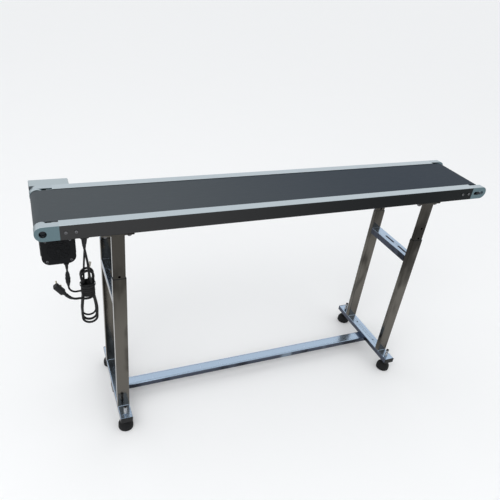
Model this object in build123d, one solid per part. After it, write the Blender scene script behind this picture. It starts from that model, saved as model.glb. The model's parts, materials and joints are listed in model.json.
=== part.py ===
from build123d import *
import math
import os

# Belt conveyor section: a slider-bed belt conveyor on a height-adjustable tube stand.
# Millimetres. +X runs from the drive end to the tail end, +Y away from the operator, +Z up.
# The origin is on the floor, under the middle of the bed.
# "Depth" means the distance from a side rail's outer face towards the bed's centre line.

NEAR, FAR = -1, 1

# ---- overall sizes
overall_length = 1500.0
bed_width = 250.0
bed_height = 780.0

# ---- side rails
rail_height = 43.0
rail_flange = 30.0
rail_wall = 3.0
rail_lip = 4.0
end_reach = 63.0

# ---- end brackets
bracket_thickness = 21.5
tongue_length = 52.0
tongue_clearance = 0.4
screw_head_clearance = 6.5
screw_offsets = (15.0, 41.0)
bracket_screw_size = 5.0
tension_screw_size = 6.0
counterbore_depth = 6.5
counterbore_radius = 5.4
shaft_hole_radius = 10.0
bearing_recess = 12.0
slot_length = 41.6
slot_height = 12.0
slot_start = 8.7

# ---- belt and rollers
belt_thickness = 2.0
belt_gap = 0.3
belt_edge_gap = 1.0
roller_radius = 18.0
roller_wall = 3.0
roller_disc = 8.0
shaft_radius = 7.5
shaft_end_depth = 9.5
shaft_shoulder = 11.0
axle_radius = 6.0
axle_flat_clearance = 0.3
axle_end_gap = 1.5
bearing_radius = 16.0
bearing_width = 9.0
running_fit = 0.05
tail_travel = 12.0

# ---- slider bed
bed_plate_thickness = 2.0
bed_plate_tuck = 7.0
brace_count = 4
brace_end_distance = 77.0
brace_width = 30.0
brace_depth = 24.0
brace_wall = 2.0
brace_foot = 3.0

# ---- legs
leg_left_x = -539.0
leg_right_x = 514.0
tube_width = 40.0
tube_depth = 20.0
tube_wall = 1.5
tube_corner = 2.5
telescope_gap = 0.2
sleeve_top_drop = 191.0
upper_tube_length = 344.0
adjust_hole_radius = 4.0
adjust_hole_drops = {"left": 183.5, "right": 143.5}
adjust_hole_pitch = 40.0
adjust_hole_count = 4
leg_plate_thickness = 4.0
leg_plate_length = 90.0
leg_bolt_offset = 33.0
leg_bolt_hole_radius = 4.2
bolt_size = 8.0
bolt_flats = 13.0
bolt_head_height = 5.3
nut_height = 6.5
washer_radius = 8.0
washer_thickness = 1.6
lock_drop = 18.0

# ---- crossbar of each leg
crossbar_drop = 265.0
crossbar_height = 23.0
crossbar_wall = 2.0
crossbar_slot_length = 52.0
crossbar_slot_width = 8.0
crossbar_slot_pitch = 77.0
crossbar_slot_shift = -25.0

# ---- base
base_bar_length = 364.0
base_clearance = 46.5
foot_inset = 26.0
drain_hole_y = 61.0
drain_hole_radius = 2.5
stretcher_bolt_pitch = 20.0
plug_cap = 2.5
plug_insert = 12.0

# ---- levelling feet
foot_radius = 25.0
foot_height = 34.0
foot_neck_radius = 9.0
foot_socket = 12.0
stud_radius = 5.0
stud_above_bar = 29.0
foot_nut_height = 8.0
foot_nut_flats = 17.0

# ---- drive unit
guard_left_inset = 0.5
guard_length = 112.0
guard_depth = 42.0
guard_height = 155.0
guard_wall = 1.5
drive_plate_thickness = 3.0
gearbox_size = 90.0
gearbox_length = 66.0
gearbox_nose_radius = 17.0
gearbox_nose = 6.0
motor_reach = 35.0
motor_drop = 92.0
motor_length = 139.0
motor_corner = 22.0
motor_wall = 9.0
motor_cap = 15.0
gear_shaft_drop = 18.0
gear_shaft_end = 33.0
gearbox_bolt_offset = 36.8
v_belt_width = 8.0
v_belt_height = 5.0
roller_pulley_radius = 13.0
motor_pulley_radius = 18.0
pulley_flange = 4.0
pulley_width = 16.0
pulley_start = 13.0
knob_inset = 33.0
knob_drop = 36.0
rocker_inset = 20.0
rocker_rise = 60.0
knob_radius = 10.0
knob_height = 11.0
rocker_length = 16.0
rocker_width = 10.0

# ---- cords
cord_radius = 3.25
lead_radius = 2.75
plug_relief = 12.0
plug_body = 34.0
pin_pitch = 19.0
hank_depth = 40.0
hank_y = -110.0
hank_left = -650.0
hank_right = -602.0
hank_top = 628.0
hank_waist = 522.0
hank_bottom = 442.0
tie_z = 602.0
tie_width = 5.0
tie_thickness = 1.6


# ---- worked-out places
half_width = bed_width / 2
rail_bottom = bed_height - rail_height
axle_z = bed_height - rail_height / 2
rail_end = overall_length / 2 - end_reach
drive_x = -overall_length / 2 + rail_height / 2
tail_x = rail_end + slot_start + slot_length / 2
belt_inner = roller_radius + belt_gap
belt_outer = belt_inner + belt_thickness
belt_half = half_width - rail_flange - belt_edge_gap
roller_half = belt_half - 1.0
bed_top = axle_z + belt_inner
plate_z = rail_bottom - leg_plate_thickness
base_top = base_clearance + tube_depth
sleeve_top = bed_height - sleeve_top_drop
motor_x = drive_x + motor_reach
motor_z = bed_height - motor_drop
gear_shaft_z = motor_z - gear_shaft_drop
guard_left = -overall_length / 2 + guard_left_inset
guard_right = guard_left + guard_length
guard_bottom = bed_height - guard_height
guard_top = bed_height - 0.5
guard_outer = half_width + guard_depth
foot_y = base_bar_length / 2 - foot_inset
leg_places = {"left": leg_left_x, "right": leg_right_x}
pulley_y = half_width + pulley_start
pulley_middle = pulley_y + pulley_width / 2
inner_width = tube_width - 2 * tube_wall - 2 * telescope_gap
inner_depth = tube_depth - 2 * tube_wall - 2 * telescope_gap
tube_y = half_width - tube_depth / 2
motor_far = half_width - gearbox_length
motor_near = motor_far - motor_length
knob_x = guard_right - knob_inset
knob_z = guard_top - knob_drop
rocker_x = guard_right - rocker_inset
rocker_z = guard_bottom + rocker_rise


# ---- helpers
def block(x, y, z):
    size = (x[1] - x[0], y[1] - y[0], z[1] - z[0])
    centre = Pos((x[0] + x[1]) / 2, (y[0] + y[1]) / 2, (z[0] + z[1]) / 2)
    return centre * Box(*size)


def rod_x(radius, x, y, z):
    return Pos((x[0] + x[1]) / 2, y, z) * Cylinder(radius, x[1] - x[0], rotation=(0, 90, 0))


def rod_y(radius, x, y, z):
    return Pos(x, (y[0] + y[1]) / 2, z) * Cylinder(radius, y[1] - y[0], rotation=(90, 0, 0))


def rod_z(radius, x, y, z):
    return Pos(x, y, (z[0] + z[1]) / 2) * Cylinder(radius, z[1] - z[0])


def prism_x(sketch, x):
    plane = Plane(origin=(x[0], 0, 0), x_dir=(0, 1, 0), z_dir=(1, 0, 0))
    return extrude(plane * sketch, amount=x[1] - x[0])


def prism_y(sketch, y):
    plane = Plane(origin=(0, y[1], 0), x_dir=(1, 0, 0), z_dir=(0, -1, 0))
    return extrude(plane * sketch, amount=y[1] - y[0])


def prism_z(sketch, z):
    return extrude(Pos(0, 0, z[0]) * sketch, amount=z[1] - z[0])


def far_copy(shape):
    return mirror(shape, about=Plane.XZ)


def depth_span(side, start, end):
    first = side * (half_width - start)
    second = side * (half_width - end)
    return (min(first, second), max(first, second))


def placed(shape, origin, direction):
    return Plane(origin=origin, z_dir=direction).location * shape


def group(solids):
    return Compound(children=list(solids))


def save(shape, name):
    export_step(shape, os.path.join("parts", name + ".step"))


# ---- fasteners: the head stands on z = 0 and the shank runs down
def button_screw(size, length):
    radius = size * 0.9
    height = size * 0.55
    head = Pos(0, 0, height / 2) * Cylinder(radius, height)
    head = fillet(head.edges().group_by(Axis.Z)[-1], radius=height * 0.6)
    socket = prism_z(RegularPolygon(size * 0.33, 6), (height * 0.4, height + 1))
    return head - socket + rod_z(size / 2, 0, 0, (-length, 0.01))


def hex_bolt(size, flats, head_height, length):
    head = prism_z(RegularPolygon(flats / 2, 6, major_radius=False), (0, head_height))
    crown = Pos(0, 0, head_height / 2) * Cone(flats * 0.72, flats * 0.47, head_height)
    return (head & crown) + rod_z(size / 2, 0, 0, (-length, 0.01))


# ---- side rails, bed plate and braces
def side_rail():
    low, high = rail_bottom, bed_height
    outer, inner = -half_width, -half_width + rail_flange
    web = outer + rail_wall
    lip = inner - rail_wall / 2
    outline = [
        (outer, low), (inner, low), (inner, low + rail_wall + rail_lip), (lip, low + rail_wall + rail_lip),
        (lip, low + rail_wall), (web, low + rail_wall), (web, high - rail_wall), (inner, high - rail_wall),
        (inner, high), (outer, high),
    ]
    section = make_face(Polyline(*outline, close=True))
    rail = prism_x(section, (-rail_end, rail_end))
    outer_edges = rail.edges().filter_by(Axis.X).filter_by(lambda e: abs(e.center().Y - outer) < 0.01)
    rail = fillet(outer_edges, radius=1.2)
    for end in (-1, 1):
        for offset in screw_offsets:
            x = end * (rail_end - offset)
            rail -= rod_y(bracket_screw_size / 2 + 0.3, x, (outer - 1, web + 1), axle_z)
    for x in leg_bolt_places():
        rail -= rod_z(leg_bolt_hole_radius, x, -half_width + rail_flange / 2, (low - 1, low + rail_wall + 1))
    return rail


def leg_bolt_places():
    return [x + side * leg_bolt_offset for x in leg_places.values() for side in (-1, 1)]


def brace_places():
    first = -rail_end + brace_end_distance
    pitch = -2 * first / (brace_count - 1)
    return [first + pitch * index for index in range(brace_count)]


def slider_bed():
    half = half_width - rail_flange + bed_plate_tuck
    left = drive_x + rail_height / 2 + 3.0
    right = tail_x - roller_radius - tail_travel - 6.0
    plate = block((left, right), (-half, half), (bed_top - bed_plate_thickness, bed_top))
    return fillet(plate.edges().filter_by(Axis.Z), radius=4)


def bed_brace(x):
    top = bed_top - bed_plate_thickness
    foot = rail_bottom + rail_wall
    half = half_width - rail_wall - 1.0
    beam = Rectangle(brace_width, brace_depth) - Rectangle(brace_width - 2 * brace_wall,
                                                           brace_depth - 2 * brace_wall)
    shape = prism_y(Pos(x, top - brace_depth / 2) * beam, (-half, half))
    for side in (NEAR, FAR):
        edge = (x - brace_width / 2, x + brace_width / 2)
        wall = sorted((side * half, side * (half - brace_foot)))
        shape += block(edge, wall, (foot, top - brace_wall))
        tab = sorted((side * half, side * (half_width - rail_flange + 4)))
        shape += block(edge, tab, (foot, foot + brace_foot))
    return shape


# ---- end brackets and bearings, drawn for the near side
def bracket_plate(axle_x, rail_x):
    y = depth_span(NEAR, 0, bracket_thickness)
    end_x = math.copysign(overall_length / 2 - rail_height / 2, axle_x)
    low, high = sorted((end_x, rail_x))
    plate = Pos((low + high) / 2, axle_z) * Rectangle(high - low, rail_height)
    plate += Pos(end_x, axle_z) * Circle(rail_height / 2)
    shape = prism_y(plate, y)
    outer = shape.faces().sort_by(Axis.Y)[0]
    return fillet(outer.edges().filter_by(lambda e: abs(e.center().X - rail_x) > 1), radius=1.2)


def bracket_tongue(rail_x):
    inward = -1 if rail_x > 0 else 1
    x = sorted((rail_x, rail_x + inward * tongue_length))
    z = (rail_bottom + rail_wall + tongue_clearance, bed_height - rail_wall - tongue_clearance)
    shape = block(x, depth_span(NEAR, rail_wall, bracket_thickness), z)
    for offset in screw_offsets:
        shape -= rod_y(bracket_screw_size / 2, rail_x + inward * offset, depth_span(NEAR, 0, 16), axle_z)
    return shape


def drive_bracket():
    shape = bracket_plate(drive_x, -rail_end) + bracket_tongue(-rail_end)
    shape += rod_y(rail_height / 2, drive_x, depth_span(NEAR, bracket_thickness - 1, rail_flange), axle_z)
    shape -= rod_y(shaft_hole_radius, drive_x, depth_span(NEAR, -1, bearing_recess + 1), axle_z)
    shape -= rod_y(bearing_radius, drive_x, depth_span(NEAR, bearing_recess, rail_flange + 1), axle_z)
    return shape


def tail_bracket():
    shape = bracket_plate(tail_x, rail_end) + bracket_tongue(rail_end)
    slot = Pos(tail_x, axle_z) * SlotOverall(slot_length, slot_height)
    shape -= prism_y(slot, depth_span(NEAR, -1, bracket_thickness + 1))
    y = -half_width + bracket_thickness / 2
    end = overall_length / 2
    shape -= rod_x(tension_screw_size / 2 + 0.1, (tail_x, end + 1), y, axle_z)
    shape -= rod_x(counterbore_radius, (end - counterbore_depth, end + 1), y, axle_z)
    return shape


def ring_bearing(outer_radius, inner_radius, y, x):
    ring = rod_y(outer_radius, x, y, axle_z) - rod_y(inner_radius, x, (y[0] - 1, y[1] + 1), axle_z)
    groove_out = outer_radius - (outer_radius - inner_radius) * 0.25
    groove_in = inner_radius + (outer_radius - inner_radius) * 0.25
    for low, high in ((y[0] - 1, y[0] + 0.8), (y[1] - 0.8, y[1] + 1)):
        ring -= rod_y(groove_out, x, (low, high), axle_z) - rod_y(groove_in, x, (low, high), axle_z)
    return ring


def drive_bearing():
    y = depth_span(NEAR, bearing_recess, bearing_recess + bearing_width)
    return ring_bearing(bearing_radius, shaft_radius + running_fit, y, drive_x)


def bracket_screws():
    screw = button_screw(bracket_screw_size, rail_wall + 10)
    places = []
    for end in (-1, 1):
        for offset in screw_offsets:
            for side in (NEAR, FAR):
                x = end * (rail_end - offset)
                places.append(placed(screw, (x, side * half_width, axle_z), (0, side, 0)))
    return group(places)


def tension_screws():
    end = overall_length / 2 - counterbore_depth
    shank = end - (tail_x - tail_travel - axle_radius - 2.0)
    screw = button_screw(tension_screw_size, shank)
    y = half_width - bracket_thickness / 2
    return group([placed(screw, (end, side * y, axle_z), (1, 0, 0)) for side in (NEAR, FAR)])


# ---- belt and rollers
def conveyor_belt():
    span = tail_x - drive_x
    middle = Pos((tail_x + drive_x) / 2, axle_z)
    loop = SlotCenterToCenter(span, 2 * belt_outer) - SlotCenterToCenter(span, 2 * belt_inner)
    return prism_y(middle * loop, (-belt_half, belt_half))


def roller_tube(x):
    y = (-roller_half, roller_half)
    longer = (-roller_half - 1, roller_half + 1)
    tube = rod_y(roller_radius, x, y, axle_z) - rod_y(roller_radius - roller_wall, x, longer, axle_z)
    return tube


def drive_roller():
    tube = roller_tube(drive_x)
    for side in (NEAR, FAR):
        y = sorted((side * roller_half, side * (roller_half - roller_disc)))
        tube += rod_y(roller_radius - 1, drive_x, y, axle_z)
    return tube - rod_y(shaft_radius, drive_x, (-half_width, half_width), axle_z)


def drive_shaft():
    near_end = -half_width + shaft_end_depth
    far_end = pulley_y + pulley_width + 2.0
    shaft = rod_y(shaft_radius, drive_x, (near_end, far_end), axle_z)
    for side in (NEAR, FAR):
        start = bearing_recess + bearing_width + 0.4
        collar = depth_span(side, start, half_width - roller_half)
        shaft += rod_y(shaft_shoulder, drive_x, collar, axle_z)
    ends = shaft.edges().filter_by(GeomType.CIRCLE).filter_by(
        lambda e: abs(e.center().Y - near_end) < 0.01 or abs(e.center().Y - far_end) < 0.01)
    return chamfer(ends, length=0.8)


def tail_axle():
    half = half_width - axle_end_gap
    axle = rod_y(axle_radius, tail_x, (-half, half), axle_z)
    flat_height = slot_height / 2 - axle_flat_clearance
    for side in (NEAR, FAR):
        y = depth_span(side, axle_end_gap - 1, bracket_thickness + 0.6)
        for direction in (-1, 1):
            z = sorted((axle_z + direction * flat_height, axle_z + direction * (axle_radius + 1)))
            axle -= block((tail_x - 8, tail_x + 8), y, z)
        collar = depth_span(side, bracket_thickness + 0.6, half_width - roller_half - 0.6)
        axle += rod_y(axle_radius + 3, tail_x, collar, axle_z)
        y = side * (half_width - bracket_thickness / 2)
        axle -= rod_x(3.4, (tail_x - 8, tail_x + 8), y, axle_z)
    return axle


def tail_bearings():
    rings = []
    for side in (NEAR, FAR):
        y = sorted((side * roller_half, side * (roller_half - bearing_width)))
        rings.append(ring_bearing(roller_radius - roller_wall, axle_radius + running_fit, y, tail_x))
    return group(rings)


# ---- legs
def tube_section(width, depth):
    hollow = RectangleRounded(width - 2 * tube_wall, depth - 2 * tube_wall, tube_corner - tube_wall)
    return RectangleRounded(width, depth, tube_corner) - hollow


def upper_tube(leg, side):
    x = leg_places[leg]
    y = side * tube_y
    section = Pos(x, y) * tube_section(inner_width, inner_depth)
    tube = prism_z(section, (plate_z - upper_tube_length, plate_z))
    for index in range(adjust_hole_count):
        z = bed_height - adjust_hole_drops[leg] - adjust_hole_pitch * index
        tube -= rod_y(adjust_hole_radius, x, (y - tube_depth, y + tube_depth), z)
    return tube


def leg_plate(x, side):
    half = leg_plate_length / 2
    plate = block((x - half, x + half), depth_span(side, 0, rail_flange), (plate_z, rail_bottom))
    plate = fillet(plate.edges().filter_by(Axis.Z), radius=3)
    y = side * (half_width - rail_flange / 2)
    z = (plate_z - 1, rail_bottom + 1)
    for direction in (-1, 1):
        plate -= rod_z(leg_bolt_hole_radius, x + direction * leg_bolt_offset, y, z)
    return plate


def leg_bolts():
    top = rail_bottom + rail_wall
    length = rail_wall + leg_plate_thickness + washer_thickness + nut_height + 2.5
    bolt = hex_bolt(bolt_size, bolt_flats, bolt_head_height, length)
    washer = rod_z(washer_radius, 0, 0, (-washer_thickness, 0)) - rod_z(bolt_size / 2, 0, 0, (-2, 1))
    nut = bolt_nut((-washer_thickness - nut_height, -washer_thickness))
    solids = []
    for x in leg_bolt_places():
        for side in (NEAR, FAR):
            y = side * (half_width - rail_flange / 2)
            solids.append(Pos(x, y, top) * bolt)
            solids.append(Pos(x, y, plate_z) * washer)
            solids.append(Pos(x, y, plate_z) * nut)
    return group(solids)


def bolt_nut(z):
    nut = prism_z(RegularPolygon(bolt_flats / 2, 6, major_radius=False), z)
    return nut - rod_z(bolt_size / 2, 0, 0, (z[0] - 1, z[1] + 1))


def lower_tube(x, side):
    section = Pos(x, side * tube_y) * tube_section(tube_width, tube_depth)
    tube = prism_z(section, (base_top, sleeve_top))
    face_y = side * tube_y + tube_depth / 2
    return tube - rod_y(bolt_size / 2, x, (face_y - 2 * tube_wall, face_y + 1), sleeve_top - lock_drop)


def crossbar(x):
    top = bed_height - crossbar_drop
    y = (-half_width + tube_depth, half_width - tube_depth)
    half = tube_width / 2
    channel = Rectangle(tube_width, crossbar_height)
    channel -= Pos(0, -crossbar_wall) * Rectangle(tube_width - 2 * crossbar_wall, crossbar_height)
    shape = prism_y(Pos(x, top - crossbar_height / 2) * channel, y)
    corners = shape.edges().filter_by(Axis.Y).filter_by(
        lambda e: abs(e.center().Z - top) < 0.01 and abs(abs(e.center().X - x) - half) < 0.01)
    shape = fillet(corners, radius=1.5)
    for centre in crossbar_slots():
        slot = Pos(x, centre) * Rot(0, 0, 90) * SlotOverall(crossbar_slot_length, crossbar_slot_width)
        shape -= prism_z(slot, (top - crossbar_wall - 1, top + 1))
    return shape


def crossbar_slots():
    return [crossbar_slot_shift + side * crossbar_slot_pitch / 2 for side in (-1, 1)]


def base_bar(x):
    half = base_bar_length / 2 - plug_cap
    section = Pos(x, base_clearance + tube_depth / 2) * tube_section(tube_width, tube_depth)
    bar = prism_y(section, (-half, half))
    z = (base_clearance - 1, base_top + 1)
    for side in (NEAR, FAR):
        bar -= rod_z(stud_radius + 0.5, x, side * foot_y, z)
        bar -= rod_z(drain_hole_radius, x, side * drain_hole_y, (base_top - 3, base_top + 1))
        bolt_y = side * stretcher_bolt_pitch / 2
        bar -= rod_z(bolt_size / 2, x, bolt_y, (base_clearance - 1, base_clearance + 3))
    return bar


def stretcher():
    left = leg_left_x - tube_width / 2 + plug_cap
    right = leg_right_x + tube_width / 2 - plug_cap
    section = Pos(0, base_clearance - tube_depth / 2) * tube_section(tube_width, tube_depth)
    bar = prism_x(section, (left, right))
    for x, y in stretcher_bolt_places():
        bar -= rod_z(bolt_size / 2, x, y, (base_clearance - tube_depth - 1, base_clearance + 1))
    return bar


def stretcher_bolt_places():
    half = stretcher_bolt_pitch / 2
    return [(x, side * half) for x in leg_places.values() for side in (NEAR, FAR)]


def tube_plugs():
    cap = prism_z(RectangleRounded(tube_width, tube_depth, tube_corner), (0, plug_cap))
    cap = fillet(cap.edges().group_by(Axis.Z)[-1], radius=1.0)
    hollow_width = tube_width - 2 * tube_wall
    hollow_depth = tube_depth - 2 * tube_wall
    insert = prism_z(RectangleRounded(hollow_width, hollow_depth, tube_corner - tube_wall), (-plug_insert, 0))
    insert -= prism_z(Rectangle(hollow_width - 4, hollow_depth - 4), (-plug_insert - 1, -1))
    plug = cap + insert
    solids = []
    z = base_clearance + tube_depth / 2
    for x in leg_places.values():
        for side in (NEAR, FAR):
            y = side * (base_bar_length / 2 - plug_cap)
            frame = Plane(origin=(x, y, z), x_dir=(1, 0, 0), z_dir=(0, side, 0))
            solids.append(frame.location * plug)
    z = base_clearance - tube_depth / 2
    reach = tube_width / 2 - plug_cap
    for x, direction in ((leg_left_x - reach, -1), (leg_right_x + reach, 1)):
        frame = Plane(origin=(x, 0, z), x_dir=(0, 1, 0), z_dir=(direction, 0, 0))
        solids.append(frame.location * plug)
    return group(solids)


def lock_screws():
    nut = bolt_nut((0, nut_height))
    screw = hex_bolt(bolt_size, bolt_flats, bolt_head_height, nut_height + 2 + tube_wall)
    solids = []
    z = sleeve_top - lock_drop
    for x in leg_places.values():
        for side in (NEAR, FAR):
            face_y = side * tube_y + tube_depth / 2
            solids.append(placed(nut, (x, face_y, z), (0, 1, 0)))
            solids.append(placed(screw, (x, face_y + nut_height + 1.95, z), (0, 1, 0)))
    return group(solids)


def stretcher_bolts():
    bolt = hex_bolt(bolt_size, bolt_flats, bolt_head_height, tube_depth + tube_wall + 6)
    z = base_clearance - tube_depth
    return group([placed(bolt, (x, y, z), (0, 0, -1)) for x, y in stretcher_bolt_places()])


def foot_nuts():
    nut = prism_z(RegularPolygon(foot_nut_flats / 2, 6, major_radius=False),
                  (base_clearance - foot_nut_height, base_clearance))
    nut -= rod_z(stud_radius + running_fit, 0, 0, (0, base_top))
    return group([Pos(x, side * foot_y, 0) * nut for x in leg_places.values() for side in (NEAR, FAR)])


def levelling_foot(x, side):
    radius = foot_radius
    neck = foot_neck_radius
    outline = [(0, 0), (radius - 2, 0), (radius, 2), (radius, 13), (radius - 1.5, 19), (radius - 5, 25),
               (radius - 10, 29.5), (neck, 31), (neck, foot_height), (0, foot_height)]
    profile = make_face(Polyline(*outline, close=True))
    pad = revolve(Plane.XZ * profile, axis=Axis.Z)
    pad -= rod_z(stud_radius, 0, 0, (foot_socket, foot_height + 1))
    stud = rod_z(stud_radius, 0, 0, (foot_socket, base_top + stud_above_bar))
    stud = chamfer(stud.edges().group_by(Axis.Z)[-1], length=0.8)
    place = Pos(x, side * foot_y, 0)
    return group([place * pad, place * stud])


# ---- drive unit
def guard_middle():
    return (guard_left + guard_right) / 2, (guard_bottom + guard_top) / 2


def drive_plate():
    height = guard_top - guard_bottom
    outline = Pos(*guard_middle()) * RectangleRounded(guard_length, height, 3)
    plate = prism_y(outline, (half_width, half_width + drive_plate_thickness))
    through = (half_width - 1, half_width + drive_plate_thickness + 1)
    plate -= rod_y(shaft_radius + 2.5, drive_x, through, axle_z)
    plate -= rod_y(gearbox_nose_radius, motor_x, through, gear_shaft_z)
    for x, z in gearbox_bolt_places():
        plate -= rod_y(3.0, x, through, z)
    for offset in screw_offsets:
        plate -= rod_y(screw_head_clearance, -rail_end + offset, through, axle_z)
    return plate


def gearbox_bolt_places():
    offset = gearbox_bolt_offset
    return [(motor_x + across * offset, motor_z + up * offset) for across in (-1, 1) for up in (-1, 1)]


def gearbox():
    body = prism_y(Pos(motor_x, motor_z) * RectangleRounded(gearbox_size, gearbox_size, 10),
                   (half_width - gearbox_length, half_width))
    nose = (half_width - 1, half_width + gearbox_nose)
    body += rod_y(gearbox_nose_radius, motor_x, nose, gear_shaft_z)
    bore = (half_width - gear_shaft_end - 1, half_width + gearbox_nose + 1)
    body -= rod_y(shaft_radius + running_fit, motor_x, bore, gear_shaft_z)
    for x, z in gearbox_bolt_places():
        body -= rod_y(3.0, x, (half_width - 13, half_width + 1), z)
    return body


def gearbox_bolts():
    bolt = button_screw(6, drive_plate_thickness + 12)
    y = half_width + drive_plate_thickness
    return group([placed(bolt, (x, y, z), (0, 1, 0)) for x, z in gearbox_bolt_places()])


def motor_outline(shrink):
    size = gearbox_size - 2 * shrink
    return Pos(motor_x, motor_z) * RectangleRounded(size, size, motor_corner - shrink)


def motor_body():
    shell = prism_y(motor_outline(0), (motor_near, motor_far))
    return shell - prism_y(motor_outline(motor_wall), (motor_near - 1, motor_far + 1))


def motor_cover():
    cover = prism_y(motor_outline(0), (motor_near - motor_cap, motor_near))
    face = cover.faces().sort_by(Axis.Y)[0]
    cover = fillet(face.edges(), radius=5)
    return cover - prism_y(motor_outline(4), (motor_near - motor_cap + 5, motor_near + 1))


def guard_cover():
    height = guard_top - guard_bottom
    y = (half_width + drive_plate_thickness, guard_outer)
    outline = Pos(*guard_middle()) * RectangleRounded(guard_length, height, 3)
    inside = RectangleRounded(guard_length - 2 * guard_wall, height - 2 * guard_wall, 1.5)
    hollow = Pos(*guard_middle()) * inside
    cover = prism_y(outline, y)
    rim = cover.faces().sort_by(Axis.Y)[-1]
    cover = fillet(rim.edges(), radius=1.2)
    cover -= prism_y(hollow, (y[0] - 1, y[1] - guard_wall))
    wall = (guard_outer - guard_wall - 1, guard_outer + 1)
    cover -= rod_y(3.3, knob_x, wall, knob_z)
    for x, z in standoff_places():
        cover -= rod_y(2.6, x, wall, z)
    opening = Pos(rocker_x, rocker_z) * Rectangle(rocker_width + 4, rocker_length + 6)
    return cover - prism_y(opening, wall)


def standoff_places():
    inset = 9.0
    return [(guard_right - inset, guard_top - inset), (guard_left + inset, guard_bottom + inset),
            (guard_right - inset, guard_bottom + inset)]


def guard_fixings():
    y = (half_width + drive_plate_thickness, guard_outer - guard_wall)
    screw = button_screw(5, guard_wall + 8)
    solids = []
    for x, z in standoff_places():
        solids.append(rod_y(4.5, x, y, z) - rod_y(2.5, x, (y[1] - 9, y[1] + 1), z))
        solids.append(placed(screw, (x, guard_outer, z), (0, 1, 0)))
    return group(solids)


def grooved_pulley(floor_radius, x, z, bore):
    y = (pulley_y, pulley_y + pulley_width)
    half = v_belt_width / 2 + belt_gap
    groove = (pulley_middle - half, pulley_middle + half)
    wheel = rod_y(floor_radius + pulley_flange, x, y, z)
    wheel -= rod_y(floor_radius + 10, x, groove, z) - rod_y(floor_radius, x, groove, z)
    return wheel - rod_y(bore, x, (y[0] - 1, y[1] + 1), z)


def pulley_loop(extra):
    first = Pos(drive_x, axle_z) * Circle(roller_pulley_radius + extra)
    second = Pos(motor_x, gear_shaft_z) * Circle(motor_pulley_radius + extra)
    return make_hull((first + second).edges())


def v_belt():
    loop = pulley_loop(belt_gap + v_belt_height) - pulley_loop(belt_gap)
    return prism_y(loop, (pulley_middle - v_belt_width / 2, pulley_middle + v_belt_width / 2))


def gearbox_shaft():
    y = (half_width - gear_shaft_end, pulley_y + pulley_width + 2)
    return rod_y(shaft_radius, motor_x, y, gear_shaft_z)


# ---- controls on the guard
def speed_control():
    y = guard_outer - guard_wall
    return rod_y(9, knob_x, (y - 11, y), knob_z) - rod_y(3.0 + running_fit, knob_x, (y - 8, y + 1), knob_z)


def speed_knob():
    y = guard_outer + 0.4
    knob = rod_y(knob_radius, knob_x, (y, y + knob_height), knob_z)
    knob = fillet(knob.edges().filter_by(GeomType.CIRCLE).sort_by(Axis.Y)[-1], radius=1.5)
    pointer = block((knob_x - 0.6, knob_x + 0.6), (y + knob_height - 0.8, y + knob_height + 1),
                    (knob_z + 2, knob_z + knob_radius))
    spindle = rod_y(3.0, knob_x, (guard_outer - guard_wall - 7, y + 0.1), knob_z)
    return knob - pointer + spindle


def rocker_frame():
    y = (guard_outer - guard_wall - 10, guard_outer)
    outer = Pos(rocker_x, rocker_z) * Rectangle(rocker_width + 4, rocker_length + 6)
    inner = Pos(rocker_x, rocker_z) * Rectangle(rocker_width + 0.8, rocker_length + 2.6)
    flange = Pos(rocker_x, rocker_z) * RectangleRounded(rocker_width + 8, rocker_length + 10, 1.5)
    shape = prism_y(outer, y) + prism_y(flange, (guard_outer, guard_outer + 1.6))
    return shape - prism_y(inner, (y[0] + 2, guard_outer + 2))


def rocker_switch():
    pivot_y = guard_outer - 2.0
    half = rocker_length / 2
    side = [(-half, 3.0), (0, 4.4), (half, 6.0), (half - 0.6, -1.0), (3, -3.5), (-3, -3.5),
            (-half + 0.6, -1.0)]
    face = make_face(Polyline(*side, close=True))
    plane = Plane(origin=(rocker_x - rocker_width / 2, pivot_y, rocker_z), x_dir=(0, 0, -1), z_dir=(1, 0, 0))
    return extrude(plane * face, amount=rocker_width)


# ---- cords
# Each cord's route is a list of points; the tube rounds every corner as far as its runs allow.
power_drop = [(-629.5, -113, 731), (-629.5, -114, 709), (-626.5, -115.8, 684), (-623.5, -117, 661),
              (-622, -118.2, 643), (-622, -119.8, 628)]
power_arm = [(-685.6, -112, 551.2), (-679.2, -112, 542.6), (-670, -113.8, 537.7), (-659.6, -117.2, 537.1),
             (-650, -121, 541)]
lead_start = [(-676.5, -88, 623), (-676.5, -88, 612)]
lead_arm = [(-676.5, -88, 566), (-676.4, -88.6, 557.9), (-673, -89.6, 550.5), (-666.8, -90.6, 545.4),
            (-659, -91.4, 543.2), (-650, -91.8, 544.6)]
lead_rise = [(-633, -104, 628), (-632, -105.6, 643), (-630.5, -107.2, 661), (-628.5, -107.8, 684),
             (-624.5, -107.8, 709), (-623, -110, 731)]
plug_axis = Vector(0.597, 0, -0.802).normalized()


def route_radii(points):
    corners = [Vector(*point) for point in points]
    radii = []
    for before, here, after in zip(corners, corners[1:], corners[2:]):
        into, out = here - before, after - here
        half_turn = math.radians(into.get_angle(out)) / 2
        radii.append(0.45 * min(into.length, out.length) / math.tan(half_turn))
    return radii


def cord_tube(name, points, radius):
    if len(points) == 2:
        path = Line(*points)
        radii = []
    else:
        radii = route_radii(points)
        path = FilletPolyline(*points, radius=radii)
    profile = Plane(origin=path @ 0, z_dir=path % 0) * Circle(radius)
    tube = sweep(profile, path=path)
    straight = math.pi * radius * radius * path.length
    print(name, "length", round(path.length, 1), "volume ratio", round(tube.volume / straight, 4))
    print(name, "radii", [round(value, 1) for value in radii])
    return tube


def power_cord():
    drop = cord_tube("power_drop", power_drop, cord_radius)
    return group([drop, cord_tube("power_arm", power_arm, cord_radius)])


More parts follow.
